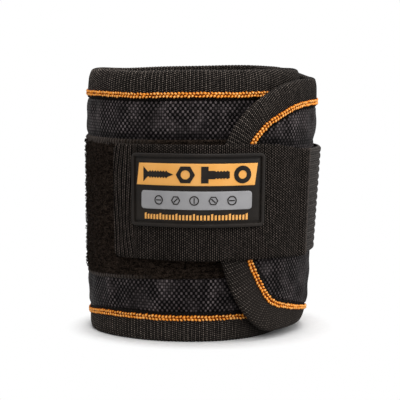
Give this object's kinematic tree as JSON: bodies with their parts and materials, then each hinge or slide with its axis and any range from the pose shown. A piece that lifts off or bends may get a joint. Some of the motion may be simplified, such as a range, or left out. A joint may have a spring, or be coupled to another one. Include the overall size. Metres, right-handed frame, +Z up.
{
  "type": "magnetic tool wristband",
  "caption": "Padded fabric wristband with hidden magnets, wrapped into an upright cuff and closed by a hook-and-loop strap with a plain colour-block label.",
  "frame": {"origin": "middle of the base of the bounding box, with the wrapped band standing on its lower edge", "axes": "+Z up along the wrist opening, -Y towards the label, +X towards the side where the outer end laps over"},
  "size_m": [0.082, 0.0868, 0.09],
  "materials": {
    "ballistic_nylon": "coarse plain weave",
    "binding_tape": "ribbed grosgrain",
    "orange_thread": "chain-stitched thread",
    "air_mesh": "open spacer mesh",
    "foam": "closed-cell foam",
    "loop_pile": "fuzzy loops",
    "hook_tape": "moulded hooks",
    "strap_webbing": "ribbed webbing",
    "elastic_webbing": "ribbed elastic",
    "black_vinyl": "matt soft vinyl",
    "orange_vinyl": "matt soft vinyl",
    "grey_vinyl": "matt soft vinyl",
    "magnet": "nickel plated"
  },
  "bodies": {
    "band": {"outer_cover": "ballistic_nylon", "mesh_lining": "air_mesh", "binding_tape_top": "binding_tape", "binding_tape_bottom": "binding_tape", "orange_stitching_top": "orange_thread", "orange_stitching_bottom": "orange_thread", "binding_tape_inner_end": "binding_tape", "orange_stitching_inner_end": "orange_thread", "magnet_upper_1": "magnet", "magnet_lower_1": "magnet", "magnet_upper_2": "magnet", "magnet_lower_2": "magnet", "magnet_upper_3": "magnet", "magnet_lower_3": "magnet", "magnet_upper_4": "magnet", "magnet_lower_4": "magnet", "magnet_upper_5": "magnet", "magnet_lower_5": "magnet", "foam_padding": "foam", "loop_patch": "loop_pile"},
    "lap": {"binding_tape_lap": "binding_tape", "orange_stitching_lap": "orange_thread", "lap_cover": "ballistic_nylon", "lap_lining": "air_mesh", "lap_foam": "foam", "elastic_sewn_end": "elastic_webbing"},
    "strap": {"webbing_strap": "strap_webbing", "elastic_strap": "elastic_webbing"},
    "tab": {"webbing_tab": "strap_webbing", "hook_patch": "hook_tape", "label_plate": "black_vinyl", "label_bar": "orange_vinyl", "label_plaque": "grey_vinyl", "label_scale": "orange_vinyl"}
  },
  "joints": [
    {"name": "lap_swing", "type": "hinge", "parent": "band", "child": "lap", "pos_m": [0.02645, 0.03176, 0.045], "axis": [0.0281, 0.0181, 0.9994], "range_deg": [0, 60]},
    {"name": "strap_swing", "type": "hinge", "parent": "lap", "child": "strap", "pos_m": [0.03455, 0.02209, 0.045], "axis": [0.038, 0.0149, 0.9992], "range_deg": [0, 90]},
    {"name": "tab_peel", "type": "hinge", "parent": "strap", "child": "tab", "pos_m": [0.02414, -0.03208, 0.045], "axis": [0.0246, -0.0181, 0.9995], "range_deg": [0, 110]}
  ]
}
